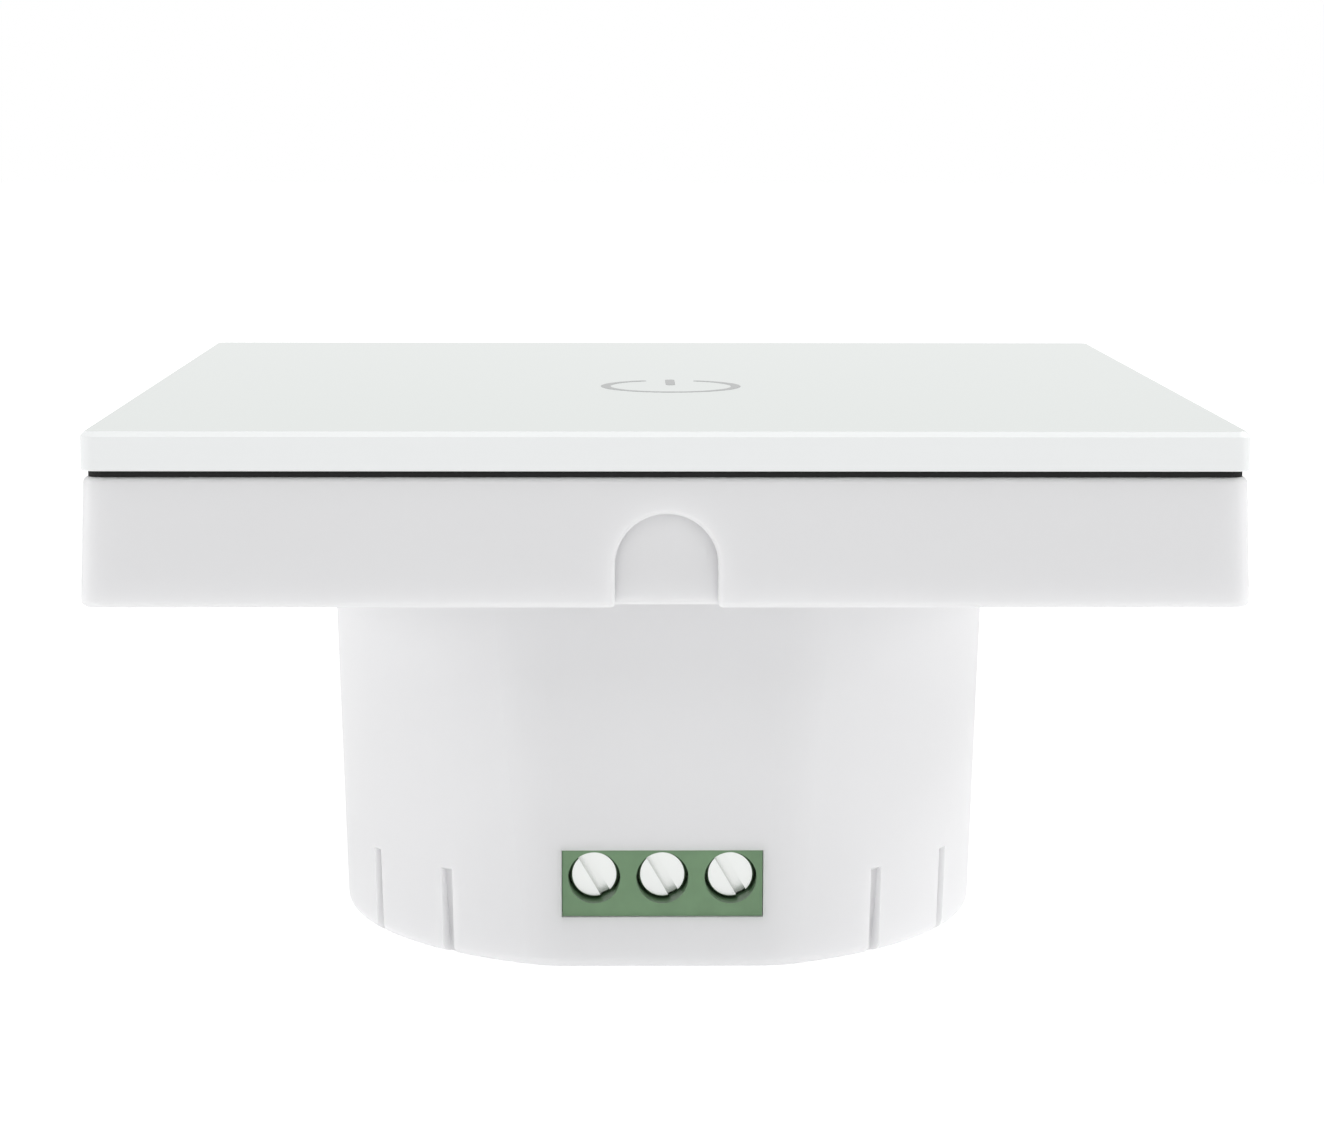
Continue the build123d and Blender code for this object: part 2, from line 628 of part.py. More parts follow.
def rear_housing():
    cup = cup_form(0, 0, WALL_Z)
    seams = cup.edges().filter_by(lambda e: e.length > CUP_DEPTH * 0.9 and e.center().Y < -CUP_FLAT / 2)
    cup = fillet(seams, CUP_FLAT_EDGE_R)
    cup = fillet(cup.edges().group_by(Axis.Z)[0], CUP_EDGE_R)
    for angle in GROOVE_ANGLES:
        cup -= [groove_cutter(angle), groove_cutter(-angle)]

    # Square flange with its lip
    flange = extrude(RectangleRounded(FLANGE_SIDE, FLANGE_SIDE, TRAY_CORNER_R), FLANGE_T + FLANGE_LIP_H)
    bay = FLANGE_SIDE - 2 * FLANGE_LIP_T
    flange -= Pos(0, 0, FLANGE_T) * extrude(RectangleRounded(bay, bay, TRAY_CORNER_R / 2), FLANGE_LIP_H)
    housing = cup + Pos(0, 0, WALL_Z) * flange
    for x, y in corners(POST_OFFSET, POST_OFFSET):
        housing += rod(x, y, WALL_Z, POST_R + POST_GAP + SOCKET_WALL, SOCKET_H)
    slot_x = BOX_SCREW_SPACING / 2
    slot_run = BOX_SLOT_LENGTH - 2 * BOX_SLOT_R
    for side in (-1, 1):
        pad = SlotCenterToCenter(slot_run, 2 * (BOX_SLOT_R + SLOT_PAD_T + BODY_GAP))
        housing += Pos(side * slot_x, 0, WALL_Z) * extrude(pad, FLANGE_T + SLOT_PAD_T / 2)

    # Inside of the cup, with the ledge for the inner cover
    housing -= cup_form(CUP_WALL, CUP_FLOOR_T, WALL_Z)
    housing -= keyed_disc(CUP_WALL, WALL_Z, FLANGE_T)
    housing -= keyed_disc(COVER_LEDGE, COVER_Z, FLANGE_T + FLANGE_LIP_H)
    for x, y in BOARD_SCREW_POINTS:
        housing += rod(x, y, CUP_FLOOR_T / 2, STANDOFF_R, BOARD_Z - CUP_FLOOR_T / 2)
        housing -= pilot(x, y, BOARD_Z, BOARD_SCREW_LENGTH)
    for x, y in COVER_SCREW_POINTS:
        housing += rod(x, y, CUP_FLOOR_T / 2, COVER_BOSS_R, COVER_Z - CUP_FLOOR_T / 2)
        housing -= pilot(x, y, COVER_Z, COVER_SCREW_LENGTH)

    # Holes through the flange
    for side in (-1, 1):
        slot = extrude(SlotCenterToCenter(slot_run, 2 * BOX_SLOT_R), 2 * FLANGE_T)
        housing -= Pos(side * slot_x, 0, WALL_Z) * slot
    for x, y in corners(POST_OFFSET, POST_OFFSET):
        housing -= rod(x, y, WALL_Z, POST_R + POST_GAP, SOCKET_H)
    notch_reach = NOTCH_DEPTH + NOTCH_BACK_T + FLANGE_GAP
    notch_w = NOTCH_W + 2 * NOTCH_BACK_T + 2 * FLANGE_GAP
    housing -= block(0, -TRAY_SIDE_WALL / 2, WALL_Z, notch_w, 2 * notch_reach, FLANGE_T + FLANGE_LIP_H)

    # Window for the terminal screws and the wire entries under them
    housing -= block(0, -CUP_FLAT, WINDOW_Z, WINDOW_W, 3 * CUP_WALL, WINDOW_H)
    for i in range(len(POLES)):
        housing -= rod(pole_x(i), WIRE_Y, 0, WIRE_HOLE_R, CUP_FLOOR_T)
        funnel = Cone(WIRE_HOLE_R + WIRE_FUNNEL, WIRE_HOLE_R, WIRE_FUNNEL, align=BASE)
        housing -= Pos(pole_x(i), WIRE_Y, 0) * funnel
    return housing


def inner_cover():
    cover = keyed_disc(COVER_LEDGE + LOOSE_GAP, COVER_Z, COVER_T)
    window_w = HEADER_PINS * HEADER_PITCH + 2 * BODY_GAP
    window_l = HEADER_BODY_W + 2 * BODY_GAP
    cover -= block(HEADER_X, HEADER_Y, COVER_Z, window_w, window_l, COVER_T)
    for i in range(COVER_VENTS):
        x = (i - (COVER_VENTS - 1) / 2) * COVER_VENT_STEP
        vent = SlotCenterToCenter(COVER_VENT_L - COVER_VENT_W, COVER_VENT_W, rotation=90)
        cover -= Pos(x, COVER_VENT_Y, COVER_Z) * extrude(vent, COVER_T)
    seat_z = FLANGE_TOP_Z - COVER_COUNTERBORE
    for x, y in COVER_SCREW_POINTS:
        cover -= rod(x, y, COVER_Z, SCREW_R + HOLE_GAP, COVER_T)
        cover -= rod(x, y, seat_z, SCREW_HEAD_R + LOOSE_GAP, COVER_COUNTERBORE)
    return cover


def cover_screws():
    seat_z = FLANGE_TOP_Z - COVER_COUNTERBORE
    return group([small_screw(x, y, seat_z, COVER_SCREW_LENGTH) for x, y in COVER_SCREW_POINTS])


def power_board():
    inset = cup_radius(CUP_DEPTH) - cup_radius(BOARD_Z) + CUP_WALL + BOARD_GAP
    board = keyed_disc(inset, BOARD_Z, BOARD_T)
    board -= [rod(x, y, BOARD_Z, COVER_BOSS_R + BOARD_GAP, BOARD_T) for x, y in COVER_SCREW_POINTS]
    board -= [rod(x, y, BOARD_Z, SCREW_R + HOLE_GAP, BOARD_T) for x, y in BOARD_SCREW_POINTS]
    round_leads = [
        (LEAD_R, BULK_LEADS + OUTPUT_LEADS + FILM_LEADS + VARISTOR_LEADS + FUSE_LEADS),
        (LEAD_R, header_points()),
        (RELAY_PIN_R, RELAY_COIL_PINS + [FIXED_PIN]),
        (TRANSFORMER_PIN_R, TRANSFORMER_PINS),
    ]
    for radius, points in round_leads:
        board -= [rod(x, y, BOARD_Z, radius + HOLE_GAP, BOARD_T) for x, y in points]
    hole_l = CONTACT_T + 2 * HOLE_GAP
    hole_w = CONTACT_PIN_W + 2 * HOLE_GAP
    pin_y = CONTACT_Y + CONTACT_T / 2
    return board - [
        block(pole_x(i), pin_y, BOARD_Z, hole_w, hole_l, BOARD_T) for i in range(len(POLES))
    ]


def board_screws():
    length = BOARD_SCREW_LENGTH + BOARD_T - LOOSE_GAP
    return group([small_screw(x, y, BOARD_TOP_Z, length) for x, y in BOARD_SCREW_POINTS])


def header_socket():
    width = HEADER_PINS * HEADER_PITCH
    body = block(HEADER_X, HEADER_Y, BOARD_TOP_Z, width, HEADER_BODY_W, SOCKET_BODY_H)
    hole_z = BOARD_TOP_Z + SOCKET_BODY_H - SOCKET_HOLE_DEPTH
    side = PIN_SIDE + 2 * HOLE_GAP
    for x, y in header_points():
        body -= block(x, y, hole_z, side, side, SOCKET_HOLE_DEPTH)
        body += rod(x, y, LEAD_Z, LEAD_R, BOARD_TOP_Z - LEAD_Z)
    return body


# Terminal block


def terminal_block():
    height = BOARD_Z - BLOCK_Z
    body = Pos(0, BLOCK_FACE_Y, BLOCK_Z) * Box(BLOCK_W, BLOCK_DEPTH, height, align=FRONT_BASE)
    nose_w, nose_h = WINDOW_W - 2 * NOSE_GAP, WINDOW_H - 2 * NOSE_GAP
    nose = Box(nose_w, BLOCK_FACE_Y - NOSE_Y, nose_h, align=FRONT_BASE)
    body += Pos(0, NOSE_Y, WINDOW_Z + NOSE_GAP) * nose
    chamber_z = SCREW_AXIS_Z - CAGE_H / 2 - BODY_GAP
    for i in range(len(POLES)):
        x = pole_x(i)
        body -= rod_y(x, NOSE_Y, SCREW_AXIS_Z, CLAMP_BORE_R, CLAMP_BORE_DEPTH)
        body -= rod_y(x, SHOULDER_Y, SCREW_AXIS_Z, CLAMP_SHAFT_R + HOLE_GAP, CLAMP_SHOULDER_T)
        chamber = Box(CHAMBER_W, CHAMBER_DEPTH, BOARD_Z - chamber_z, align=FRONT_BASE)
        body -= Pos(x, CHAMBER_Y, chamber_z) * chamber
        body -= rod(x, WIRE_Y, BLOCK_Z, WIRE_HOLE_R - HOLE_GAP, chamber_z - BLOCK_Z)
    return body


def terminal_screw(index):
    head_y = SHOULDER_Y - RUNNING_GAP - CLAMP_HEAD_H
    x = pole_x(index)
    head = rod_y(x, head_y, SCREW_AXIS_Z, CLAMP_HEAD_R, CLAMP_HEAD_H)
    head = chamfer(head.edges().group_by(Axis.Y)[0], CLAMP_HEAD_CHAMFER)
    tip_y = CONTACT_Y - LOOSE_GAP
    shaft = rod_y(x, head_y, SCREW_AXIS_Z, CLAMP_SHAFT_R, tip_y - head_y)
    slot = Box(CLAMP_SLOT_W, 2 * CLAMP_SLOT_DEPTH, 2 * CLAMP_BORE_R)
    return head + shaft - Pos(x, head_y, SCREW_AXIS_Z) * Rot(0, -CLAMP_SLOT_TURN, 0) * slot


def terminal_cage(index):
    x = pole_x(index)
    bottom = SCREW_AXIS_Z - CAGE_H / 2
    cage = Pos(x, CAGE_Y, bottom) * Box(CAGE_W, CAGE_LENGTH, CAGE_H, align=FRONT_BASE)
    inside = Box(CAGE_W - 2 * CAGE_SIDE_WALL, CAGE_LENGTH - 2 * CAGE_WALL, CAGE_H, align=FRONT_BASE)
    cage -= Pos(x, CAGE_Y + CAGE_WALL, bottom) * inside
    return cage - rod_y(x, CAGE_Y, SCREW_AXIS_Z, CLAMP_SHAFT_R + RUNNING_GAP, CAGE_WALL)


def terminal_contacts():
    plates = []
    bottom = SCREW_AXIS_Z - CAGE_H / 2
    plate_h = BOARD_Z - CONTACT_SHOULDER_GAP - bottom
    for i in range(len(POLES)):
        start = Pos(pole_x(i), CONTACT_Y, bottom)
        plate = start * Box(CONTACT_W, CONTACT_T, plate_h, align=FRONT_BASE)
        pin_h = BOARD_TOP_Z + LEAD_BELOW - bottom
        plates.append(plate + start * Box(CONTACT_PIN_W, CONTACT_T, pin_h, align=FRONT_BASE))
    return group(plates)


# Relay, built about its own middle and placed on the board

RELAY_PIVOT_Y = RELAY_L / 2 - RELAY_COVER_WALL - HOLE_GAP
RELAY_INSIDE_Z = RELAY_FLOOR_T
RELAY_COIL_Z = RELAY_INSIDE_Z + RELAY_IRON_T
RELAY_POLE_Z = RELAY_COIL_Z + RELAY_COIL_H + RELAY_POLE_T
RELAY_ARMATURE_Z = RELAY_POLE_Z + RELAY_AIR_GAP


def on_board(x, y, shape):
    return Pos(x, y, BOARD_TOP_Z) * shape


def relay_base():
    inside = 2 * (RELAY_COVER_WALL + HOLE_GAP)
    base = block(0, 0, 0, RELAY_W, RELAY_L, RELAY_SKIRT_H)
    base += block(0, 0, 0, RELAY_W - inside, RELAY_L - inside, RELAY_FLOOR_T)
    base = on_board(RELAY_X, RELAY_Y, base)
    points = RELAY_COIL_PINS + [FIXED_PIN]
    return base - [rod(x, y, BOARD_TOP_Z, RELAY_PIN_R + RUNNING_GAP, RELAY_FLOOR_T) for x, y in points]


def relay_cover():
    outer = block(0, 0, RELAY_SKIRT_H, RELAY_W, RELAY_L, RELAY_H - RELAY_SKIRT_H)
    outer = fillet(outer.edges().filter_by(Axis.Z) + outer.edges().group_by(Axis.Z)[-1], BOX_PART_EDGE_R)
    walls = 2 * RELAY_COVER_WALL
    inner_h = RELAY_H - RELAY_SKIRT_H - RELAY_COVER_WALL
    shell = outer - block(0, 0, RELAY_SKIRT_H, RELAY_W - walls, RELAY_L - walls, inner_h)
    return on_board(RELAY_X, RELAY_Y, shell)


def relay_bobbin():
    spool = rod(0, 0, 0, RELAY_SPOOL_R, RELAY_COIL_H)
    spool += rod(0, 0, 0, RELAY_FLANGE_R, RELAY_FLANGE_T)
    spool += rod(0, 0, RELAY_COIL_H - RELAY_FLANGE_T, RELAY_FLANGE_R, RELAY_FLANGE_T)
    spool -= rod(0, 0, 0, RELAY_CORE_R + RUNNING_GAP, RELAY_COIL_H)
    return on_board(RELAY_X, RELAY_Y, Pos(0, RELAY_COIL_Y, RELAY_COIL_Z) * spool)


def relay_winding():
    height = RELAY_COIL_H - 2 * RELAY_FLANGE_T
    ring = rod(0, 0, RELAY_FLANGE_T, RELAY_WINDING_R, height)
    ring -= rod(0, 0, RELAY_FLANGE_T, RELAY_SPOOL_R, height)
    return on_board(RELAY_X, RELAY_Y, Pos(0, RELAY_COIL_Y, RELAY_COIL_Z) * ring)


def relay_core():
    core = rod(0, 0, RELAY_INSIDE_Z, RELAY_CORE_R, RELAY_POLE_Z - RELAY_INSIDE_Z)
    core += rod(0, 0, RELAY_POLE_Z - RELAY_POLE_T, RELAY_POLE_R, RELAY_POLE_T)
    return on_board(RELAY_X, RELAY_Y, Pos(0, RELAY_COIL_Y, 0) * core)


def relay_yoke():
    top = RELAY_ARMATURE_Z - RUNNING_GAP
    back_y = RELAY_PIVOT_Y - RELAY_IRON_T / 2
    back = block(0, back_y, RELAY_INSIDE_Z, RELAY_IRON_W, RELAY_IRON_T, top - RELAY_INSIDE_Z)
    leg_l = RELAY_PIVOT_Y - RELAY_COIL_Y + RELAY_POLE_R
    leg_y = RELAY_PIVOT_Y - leg_l / 2
    leg = block(0, leg_y, RELAY_INSIDE_Z, RELAY_IRON_W, leg_l, RELAY_IRON_T)
    hole = rod(0, RELAY_COIL_Y, RELAY_INSIDE_Z, RELAY_CORE_R + RUNNING_GAP, RELAY_IRON_T)
    return on_board(RELAY_X, RELAY_Y, back + leg - hole)


def relay_armature():
    y = RELAY_PIVOT_Y - RELAY_ARMATURE_L / 2
    plate = block(0, y, RELAY_ARMATURE_Z, RELAY_IRON_W, RELAY_ARMATURE_L, RELAY_IRON_T)
    return on_board(RELAY_X, RELAY_Y, plate)


def relay_contact_blade():
    """Springy strip under the armature's free end, with the moving contact."""
    near = RELAY_PIVOT_Y - RELAY_ARMATURE_L + RELAY_BLADE_OVERLAP
    far = RELAY_CONTACT_Y - RELAY_CONTACT_R - RELAY_BLADE_END
    top = RELAY_ARMATURE_Z - RELAY_BLADE_T
    blade = block(0, (near + far) / 2, top, RELAY_BLADE_W, near - far, RELAY_BLADE_T)
    blade += rod(0, RELAY_CONTACT_Y, top - RELAY_CONTACT_T, RELAY_CONTACT_R, RELAY_CONTACT_T)
    return on_board(RELAY_X, RELAY_Y, blade)


def relay_fixed_contact():
    contact_top = RELAY_ARMATURE_Z - RELAY_BLADE_T - RELAY_CONTACT_T - RELAY_CONTACT_GAP
    strip_top = contact_top - RELAY_CONTACT_T
    strip_h = strip_top - RELAY_INSIDE_Z
    strip = block(0, FIXED_STRIP_Y, RELAY_INSIDE_Z, RELAY_BLADE_W, RELAY_STRIP_T, strip_h)
    shelf_l = RELAY_CONTACT_Y + RELAY_CONTACT_R - FIXED_STRIP_Y + RELAY_STRIP_T / 2
    shelf_y = FIXED_STRIP_Y - RELAY_STRIP_T / 2 + shelf_l / 2
    strip += block(0, shelf_y, strip_top - RELAY_STRIP_T, RELAY_BLADE_W, shelf_l, RELAY_STRIP_T)
    strip += rod(0, RELAY_CONTACT_Y, strip_top, RELAY_CONTACT_R, RELAY_CONTACT_T)
    pin = rod(*FIXED_PIN, LEAD_Z, RELAY_PIN_R, BOARD_TOP_Z + RELAY_INSIDE_Z + RELAY_STRIP_T - LEAD_Z)
    return on_board(RELAY_X, RELAY_Y, strip) + pin


def relay_coil_pins():
    height = BOARD_TOP_Z + RELAY_FLOOR_T + PIN_ABOVE - LEAD_Z
    return group([rod(x, y, LEAD_Z, RELAY_PIN_R, height) for x, y in RELAY_COIL_PINS])


# Transformer


def transformer_core():
    """Two E halves round the spool, as one glued ferrite."""
    window_w = (FERRITE_W - 2 * FERRITE_BAR - FERRITE_CENTRE_W) / 2
    window_h = FERRITE_H - 2 * FERRITE_BAR
    offset = (FERRITE_CENTRE_W + window_w) / 2
    ferrite = block(0, 0, RAIL_H, FERRITE_W, FERRITE_T, FERRITE_H)
    for side in (-1, 1):
        ferrite -= block(side * offset, 0, RAIL_H + FERRITE_BAR, window_w, FERRITE_T, window_h)
    return on_board(TRANSFORMER_X, TRANSFORMER_Y, ferrite)


SPOOL_Z = RAIL_H + FERRITE_BAR
SPOOL_H = FERRITE_H - 2 * FERRITE_BAR


def transformer_bobbin():
    rail = block(0, 0, 0, RAIL_W, RAIL_L, RAIL_H)
    spool = rod(0, 0, SPOOL_Z, SPOOL_R, SPOOL_H)
    for z in (SPOOL_Z, SPOOL_Z + SPOOL_H - SPOOL_FLANGE_T):
        spool += rod(0, 0, z, SPOOL_FLANGE_R, SPOOL_FLANGE_T)
    spool -= block(0, 0, SPOOL_Z, FERRITE_CENTRE_W + HOLE_GAP, FERRITE_T + HOLE_GAP, SPOOL_H)
    bobbin = rail + spool
    post_l = SPOOL_FLANGE_R - FERRITE_T / 2 - HOLE_GAP - SPOOL_POST_EDGE
    for side in (-1, 1):
        post_y = side * (FERRITE_T / 2 + HOLE_GAP + post_l / 2)
        bobbin += block(0, post_y, 0, FERRITE_CENTRE_W, post_l, SPOOL_Z + SPOOL_FLANGE_T)
    bobbin = on_board(TRANSFORMER_X, TRANSFORMER_Y, bobbin)
    return bobbin + [
        rod(x, y, LEAD_Z, TRANSFORMER_PIN_R, BOARD_TOP_Z + RAIL_H / 2 - LEAD_Z)
        for x, y in TRANSFORMER_PINS
    ]


def transformer_winding():
    z, height = SPOOL_Z + SPOOL_FLANGE_T, SPOOL_H - 2 * SPOOL_FLANGE_T
    ring = rod(0, 0, z, WINDING_R, height) - rod(0, 0, z, SPOOL_R, height)
    return on_board(TRANSFORMER_X, TRANSFORMER_Y, ring)


# Capacitors, varistor and fuse


def with_leads(shape, points):
    leads = [rod(x, y, LEAD_Z, LEAD_R, BOARD_TOP_Z + LEAD_BELOW - LEAD_Z) for x, y in points]
    return shape + leads


def can_capacitor(x, y, radius, height, points):
    """Electrolytic can with its crimped neck."""
    neck_z = radius / 2
    profile = Polyline(
        (0, 0),
        (radius, 0),
        (radius, neck_z),
        (radius - CAN_NECK, neck_z + CAN_NECK),
        (radius, neck_z + 2 * CAN_NECK),
        (radius, height - CAN_NECK),
        (radius - CAN_NECK, height),
        (0, height),
        close=True,
    )
    can = revolve(Plane.XZ * make_face(profile), Axis.Z)
    return with_leads(on_board(x, y, can), points)


def film_capacitor():
    body = block(FILM_X, FILM_Y, BOARD_TOP_Z, FILM_W, FILM_L, FILM_H)
    body = fillet(body.edges().group_by(Axis.Z)[-1], BOX_PART_EDGE_R)
    return with_leads(body, FILM_LEADS)


def varistor():
    """Disc on edge, dipped in lacquer."""
    middle_z = BOARD_TOP_Z + VARISTOR_R + HOLE_GAP
    disc = rod_y(VARISTOR_X, VARISTOR_Y - VARISTOR_T / 2, middle_z, VARISTOR_R, VARISTOR_T)
    disc = fillet(disc.edges(), VARISTOR_T / 3)
    leads = [
        rod(x, y, LEAD_Z, LEAD_R, BOARD_TOP_Z + VARISTOR_R - LEAD_Z) for x, y in VARISTOR_LEADS
    ]
    return disc + leads


def fuse():
    body = block(FUSE_X, FUSE_Y, BOARD_TOP_Z, FUSE_L, FUSE_W, FUSE_H)
    body = fillet(body.edges().group_by(Axis.Z)[-1], BOX_PART_EDGE_R)
    return with_leads(body, FUSE_LEADS)


NODES = {
    "glass_panel": glass_panel(),
    "panel_tape": panel_tape(),
    "front_frame": front_frame(),
    "touch_board": touch_board(),
    "touch_board_screws": touch_board_screws(),
    "touch_spring": touch_spring(),
    "light_guide": light_guide(),
    "leds": leds(),
    "touch_chip": touch_chip(),
    "radio_module": radio_module(),
    "radio_shield": radio_shield(),
    "header_strip": header_strip(),
    "header_pins": header_pins(),
    "rear_housing": rear_housing(),
    "inner_cover": inner_cover(),
    "cover_screws": cover_screws(),
    "power_board": power_board(),
    "board_screws": board_screws(),
    "header_socket": header_socket(),
    "terminal_block": terminal_block(),
    "terminal_contacts": terminal_contacts(),
    "relay_base": relay_base(),
    "relay_cover": relay_cover(),
    "relay_bobbin": relay_bobbin(),
    "relay_winding": relay_winding(),
    "relay_core": relay_core(),
    "relay_yoke": relay_yoke(),
    "relay_armature": relay_armature(),
    "relay_contact_blade": relay_contact_blade(),
    "relay_fixed_contact": relay_fixed_contact(),
    "relay_coil_pins": relay_coil_pins(),
    "transformer_core": transformer_core(),
    "transformer_bobbin": transformer_bobbin(),
    "transformer_winding": transformer_winding(),
    "bulk_capacitor": can_capacitor(BULK_X, BULK_Y, BULK_R, BULK_H, BULK_LEADS),
    "output_capacitor": can_capacitor(OUTPUT_X, OUTPUT_Y, OUTPUT_R, OUTPUT_H, OUTPUT_LEADS),
    "film_capacitor": film_capacitor(),
    "varistor": varistor(),
    "fuse": fuse(),
}
for index, pole in enumerate(POLES):
    NODES[f"terminal_screw_{pole}"] = terminal_screw(index)
    NODES[f"terminal_cage_{pole}"] = terminal_cage(index)

os.makedirs("parts", exist_ok=True)
for name, shape in NODES.items():
    export_step(shape, f"parts/{name}.step")
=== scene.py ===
"""Glass touch light switch: finishes, printed sign, studio and camera, laid out as an add-on."""

import math

import bmesh
import bpy
from bpy.props import FloatProperty, FloatVectorProperty, PointerProperty
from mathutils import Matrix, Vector


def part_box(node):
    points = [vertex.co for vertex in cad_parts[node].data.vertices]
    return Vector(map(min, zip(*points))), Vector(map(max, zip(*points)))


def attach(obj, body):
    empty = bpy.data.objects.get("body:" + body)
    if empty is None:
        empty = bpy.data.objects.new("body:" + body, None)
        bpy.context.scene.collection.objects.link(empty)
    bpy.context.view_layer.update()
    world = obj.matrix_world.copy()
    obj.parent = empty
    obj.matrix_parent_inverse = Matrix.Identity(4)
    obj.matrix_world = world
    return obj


bl_info = {
    "name": "Glass Touch Light Switch",
    "version": (1, 0, 0),
    "blender": (4, 5, 0),
    "location": "View3D > Sidebar > Light Switch",
    "description": "Finishes, sign, lamps and camera for a glass touch light switch",
    "category": "Object",
}

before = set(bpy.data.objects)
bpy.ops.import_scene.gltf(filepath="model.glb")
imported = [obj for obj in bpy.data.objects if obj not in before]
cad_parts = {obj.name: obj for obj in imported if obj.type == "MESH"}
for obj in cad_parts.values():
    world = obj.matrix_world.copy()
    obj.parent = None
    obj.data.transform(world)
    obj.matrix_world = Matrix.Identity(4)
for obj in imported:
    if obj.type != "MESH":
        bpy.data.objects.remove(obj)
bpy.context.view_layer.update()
MM = 0.001


def linear(code, alpha=1.0):
    """Linear colour of an sRGB hex code."""

    def channel(value):
        return value / 12.92 if value <= 0.04045 else ((value + 0.055) / 1.055) ** 2.4

    parts = [int(code[i : i + 2], 16) / 255 for i in (1, 3, 5)]
    return (*[channel(value) for value in parts], alpha)


def colour_prop(name, description, code):
    return FloatVectorProperty(
        name=name,
        description=description,
        subtype="COLOR",
        size=4,
        min=0,
        max=1,
        default=linear(code),
    )


def size_prop(name, description, millimetres):
    return FloatProperty(
        name=name,
        description=description,
        default=millimetres * MM,
        min=0,
        subtype="DISTANCE",
        unit="LENGTH",
    )


class SwitchFinish(bpy.types.PropertyGroup):
    """Colours of the switch."""

    plastic: colour_prop("Plastic", "Tray, cup and inner cover", "#e9e9ea")
    glass: colour_prop("Glass", "White print seen through the glass", "#ecf3ef")
    # Painted light: the edges' colour is whiter than the face's, standing in for the light that polished
    # edges gather from the plate
    glass_edge_painted_light: colour_prop("Glass edge", "Polished edges of the glass", "#f4f6f6")
    seam: colour_prop("Seam", "Bonding tape between glass and tray", "#141414")
    sign: colour_prop("Sign", "Printed power sign", "#747a78")
    terminal: colour_prop("Terminal block", "Green moulding that holds the clamps", "#6a8b67")
    screw: colour_prop("Terminal screw", "Nickel-plated clamp screws", "#d4d6d4")
    board: colour_prop("Board", "Solder mask of both boards", "#1f5a33")


class SwitchSizes(bpy.types.PropertyGroup):
    """Sizes of the printed sign and of the plastic's grain."""

    sign_radius: size_prop("Sign radius", "Middle of the ring's stroke", 5.1)
    sign_stroke: size_prop("Sign stroke", "Width of the ring and the bar", 0.75)
    sign_side: size_prop("Sign offset", "Sign's middle to the right of the panel's middle", 0.85)
    sign_drop: size_prop("Sign drop", "Sign's middle below the panel's middle", 4.9)
    sign_bar: size_prop("Bar length", "Length of the bar", 4.9)
    sign_bar_rise: size_prop("Bar rise", "Bar's middle above the ring's middle", 3.3)
    sign_film: size_prop("Print thickness", "Thickness of the printed ink", 0.01)
    plastic_grain: size_prop("Mould grain", "Grain of the eroded mould, drawn coarse enough to show", 0.35)
    sign_gap: FloatProperty(
        name="Ring gap", description="Opening at the ring's top", default=math.radians(52), subtype="ANGLE"
    )


# Node tools


def add_node(tree, kind, settings=None, links=None, **attributes):
    """Adds one node, sets its values, and links its inputs from other nodes' outputs."""
    node = tree.nodes.new(kind)
    for name, value in attributes.items():
        setattr(node, name, value)
    for name, value in (settings or {}).items():
        node.inputs[name].default_value = value
    for name, source in (links or {}).items():
        tree.links.new(source, node.inputs[name])
    return node


def new_material(name, settings):
    """Material with one surface shader whose uniform values are set on its own sockets."""
    material = bpy.data.materials.new(name)
    material.use_nodes = True
    tree = material.node_tree
    tree.nodes.clear()
    shader = add_node(tree, "ShaderNodeBsdfPrincipled", settings)
    add_node(tree, "ShaderNodeOutputMaterial", links={"Surface": shader.outputs["BSDF"]})
    material.diffuse_color = settings["Base Color"]
    return material, tree, shader


def grain(tree, shader, size, strength, depth, detail=3.0):
    """Fine bump whose grains have a real size."""
    place = add_node(tree, "ShaderNodeTexCoord")
    noise = add_node(
        tree,
        "ShaderNodeTexNoise",
        {"Scale": 1 / size, "Detail": detail, "Roughness": 0.55},
        {"Vector": place.outputs["Object"]},
    )
    bump = add_node(
        tree,
        "ShaderNodeBump",
        {"Strength": strength, "Distance": depth},
        {"Height": noise.outputs["Fac"]},
    )
    tree.links.new(bump.outputs["Normal"], shader.inputs["Normal"])


def mix_colours(tree, shader, first, second, share):
    """Colours a shader from the first colour, where the share is nought, to the second, where it is one."""
    mix = add_node(
        tree,
        "ShaderNodeMix",
        {"A": first, "B": second},
        {"Factor": share},
        data_type="RGBA",
    )
    tree.links.new(mix.outputs["Result"], shader.inputs["Base Color"])


def shade(colour, factor):
    return (*[min(1.0, value * factor) for value in colour[:3]], 1.0)


def drift(tree, shader, colour, darkest, lightest, size):
    """Slow change between two shades of a colour over a real distance."""
    place = add_node(tree, "ShaderNodeTexCoord")
    noise = add_node(
        tree,
        "ShaderNodeTexNoise",
        {"Scale": 1 / size, "Detail": 2.0},
        {"Vector": place.outputs["Object"]},
    )
    mix_colours(tree, shader, shade(colour, darkest), shade(colour, lightest), noise.outputs["Fac"])


def dress(material, *nodes):
    """Puts a material on CAD nodes."""
    for name in nodes:
        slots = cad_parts[name].data.materials
        slots.clear()
        slots.append(material)


# Materials

# How far light travels in the white plastic
PLASTIC_DEPTH = 1.5 * MM
# Upward share of a glass surface's facing at which the edge's whiter colour, which is painted light, ends,
# and the face's is full
PAINTED_EDGE_LIGHT_END = 0.8
GLASS_FACE_START = 0.95
# Upward share of an arris's facing, how far it may be off, and its share of inner reflection
ARRIS_TILT = 0.7
ARRIS_SPREAD = 0.2
ARRIS_SHINE = 0.45
# Spacing of the copper pours, and the shares of it between which a pour ends
TRACK_PITCH = 2.2 * MM
POUR_EDGE = 0.42
POUR_END = 0.46


